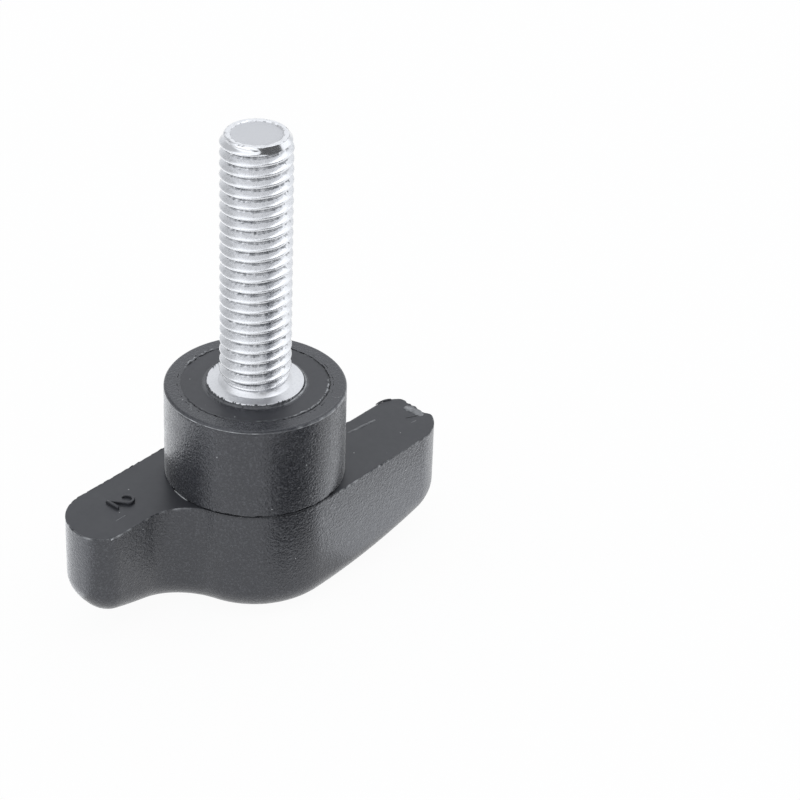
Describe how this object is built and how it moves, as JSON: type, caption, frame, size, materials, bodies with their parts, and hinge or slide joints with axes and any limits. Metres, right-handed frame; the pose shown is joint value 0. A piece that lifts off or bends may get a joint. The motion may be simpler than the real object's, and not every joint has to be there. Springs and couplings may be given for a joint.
{
  "type": "wing knob",
  "caption": "Wing knob with a threaded steel stud: black moulded handle with two offset wings and a round boss, and a male thread along its axis.",
  "frame": {"origin": "lowest point of the domed outer face, on the stud's axis", "axes": "+Z along the stud, away from the handle; the wings run along X, the one towards +X lies on the -Y side"},
  "size_m": [0.045, 0.0202, 0.0548],
  "materials": {
    "moulded_nylon": "fine spark-eroded texture on the sides, smoother on the back face of the wings",
    "zinc_plated_steel": "bright zinc plate over a rolled thread"
  },
  "bodies": {
    "root": {"knob_body": "moulded_nylon", "threaded_stud": "zinc_plated_steel"}
  },
  "joints": []
}
